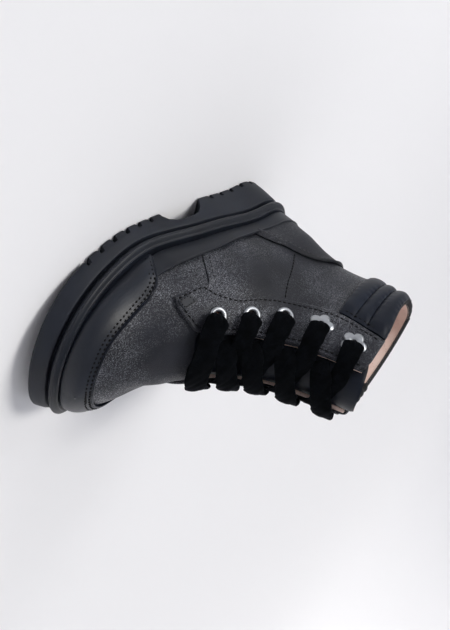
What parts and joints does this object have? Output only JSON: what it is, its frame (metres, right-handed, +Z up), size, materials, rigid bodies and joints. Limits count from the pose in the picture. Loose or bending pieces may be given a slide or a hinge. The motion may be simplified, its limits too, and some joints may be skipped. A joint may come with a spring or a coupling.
{
  "type": "child's biker boot",
  "caption": "Child's lace-up biker boot in charcoal glitter leather with a padded rolled collar, wide velvet laces, inner zip and a chunky cleated rubber sole.",
  "frame": {"origin": "on the floor, under the middle of the heel's tread, 38.6 mm ahead of the very back of the outsole", "axes": "+X towards the toe, +Y towards the inner side of the foot, +Z up"},
  "size_m": [0.212, 0.0953, 0.1409],
  "materials": {
    "outsole_rubber": "matt black rubber",
    "midsole_rubber": "satin black rubber",
    "insole_leather": "soft beige leather",
    "glitter_leather": "charcoal leather with fine glitter",
    "smooth_leather": "semi-gloss black leather",
    "rand_rubber": "satin black rubber",
    "zip_tape": "woven black tape",
    "zip_teeth": "black moulded teeth",
    "eyelet_metal": "satin nickel",
    "velvet": "black velvet"
  },
  "bodies": {
    "root": {"outsole": "outsole_rubber", "midsole": "midsole_rubber", "insole": "insole_leather", "upper": "glitter_leather", "tongue": "smooth_leather", "rand": "rand_rubber", "toe_cap": "smooth_leather", "heel_counter": "glitter_leather", "eyestay_outer": "glitter_leather", "eyestay_inner": "glitter_leather", "collar": "smooth_leather", "zip_tape": "zip_tape", "zip_teeth": "zip_teeth", "zip_slider": "eyelet_metal", "ring_outer_1": "eyelet_metal", "ring_inner_1": "eyelet_metal", "ring_outer_2": "eyelet_metal", "ring_inner_2": "eyelet_metal", "ring_outer_3": "eyelet_metal", "ring_inner_3": "eyelet_metal", "flower_outer_4": "eyelet_metal", "flower_inner_4": "eyelet_metal", "flower_outer_5": "eyelet_metal", "flower_inner_5": "eyelet_metal", "lace_bar_1": "velvet", "lace_cross_2": "velvet", "lace_cross_3": "velvet", "lace_cross_4": "velvet", "lace_cross_5": "velvet"}
  },
  "joints": []
}
